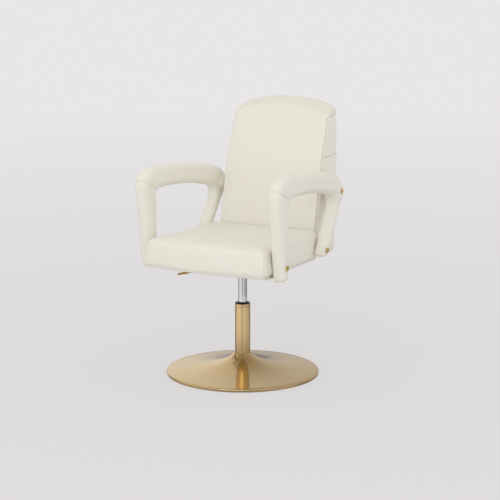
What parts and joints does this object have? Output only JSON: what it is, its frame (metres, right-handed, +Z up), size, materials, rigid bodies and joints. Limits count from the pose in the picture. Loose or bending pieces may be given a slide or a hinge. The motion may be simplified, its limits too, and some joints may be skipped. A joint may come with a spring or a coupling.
{
  "type": "manicure chair",
  "caption": "Padded salon chair with a leaning wedge back and open arm loops, on a gas-lift swivel column with a release lever and a flared round base.",
  "frame": {"origin": "on the floor under the middle of the chair's box; the column's axis stands 27.9 mm in front of it", "axes": "+Z up, -Y the way a sitter faces, +X to the sitter's left"},
  "size_m": [0.5352, 0.5799, 0.8885],
  "materials": {
    "upholstery": "satin",
    "gold_steel": "satin",
    "lever_gold": "satin",
    "chrome": "polished",
    "steel": "satin",
    "black_steel": "satin",
    "black_plastic": "satin",
    "rubber": "matte",
    "plywood": "matte",
    "felt": "matte"
  },
  "bodies": {
    "base": {"base_shell": "gold_steel", "floor_ring": "rubber", "ballast_plate": "steel", "column_hub": "black_steel", "column_sleeve": "gold_steel", "guide_bush": "black_plastic", "column_floor": "steel", "lower_race": "steel"},
    "bearing": {"ball_cage": "steel"},
    "piston": {"piston_rod": "chrome", "piston_head": "steel", "upper_race": "steel", "bump_stop": "rubber", "rod_clip": "steel"},
    "seat": {"gas_cylinder": "chrome", "rod_gland": "black_plastic", "taper_socket": "black_steel", "seat_plate": "black_steel", "lever_bracket": "black_steel", "lever_pin": "steel", "plate_screw_1": "steel", "plate_screw_2": "steel", "plate_screw_3": "steel", "plate_screw_4": "steel", "dust_cover": "felt", "seat_board": "plywood", "seat_cushion": "upholstery", "seat_rail_left": "plywood", "seat_rail_right": "plywood", "arm_core_left": "plywood", "arm_core_right": "plywood", "arm_pad_inner_left": "upholstery", "arm_pad_inner_right": "upholstery", "arm_pad_outer_left": "upholstery", "arm_pad_outer_right": "upholstery", "arm_toe_left": "upholstery", "arm_toe_right": "upholstery", "arm_bolt_front_left": "gold_steel", "arm_bolt_front_right": "gold_steel", "arm_bolt_rear_left": "gold_steel", "arm_bolt_rear_right": "gold_steel", "arm_bolt_back_left": "gold_steel", "arm_bolt_back_right": "gold_steel", "insert_front_left": "steel", "insert_front_right": "steel", "insert_rear_left": "steel", "insert_rear_right": "steel", "insert_back_left": "steel", "insert_back_right": "steel", "back_spacer_left": "black_plastic", "back_spacer_right": "black_plastic", "back_cushion": "upholstery", "back_panel": "upholstery", "back_frame": "plywood", "back_cheek_left": "plywood", "back_cheek_right": "plywood"},
    "lever": {"lever_bar": "black_steel", "lever_handle": "lever_gold"},
    "valve": {"release_pin": "black_plastic"}
  },
  "joints": [
    {"name": "swivel", "type": "hinge", "parent": "base", "child": "piston", "pos_m": [0, -0.02787, 0.02], "axis": [0, 0, 1], "continuous": true},
    {"name": "bearing_roll", "type": "hinge", "parent": "base", "child": "bearing", "pos_m": [0, -0.02787, 0.0207], "axis": [0, 0, 1], "continuous": true},
    {"name": "height", "type": "slide", "parent": "piston", "child": "seat", "axis": [0, 0, 1], "range_m": [-0.06, 0.04]},
    {"name": "lever", "type": "hinge", "parent": "seat", "child": "lever", "pos_m": [-0.034, -0.02787, 0.364], "axis": [0, 1, 0], "range_deg": [0, 7]},
    {"name": "valve", "type": "slide", "parent": "seat", "child": "valve", "axis": [0, 0, -1], "range_m": [0, 0.0042], "stiffness_N_per_m": 1500}
  ],
  "couplings": [
    {"joint": "bearing_roll", "follows": "swivel", "ratio": 0.5},
    {"joint": "valve", "follows": "lever", "m_per_rad": 0.034}
  ]
}
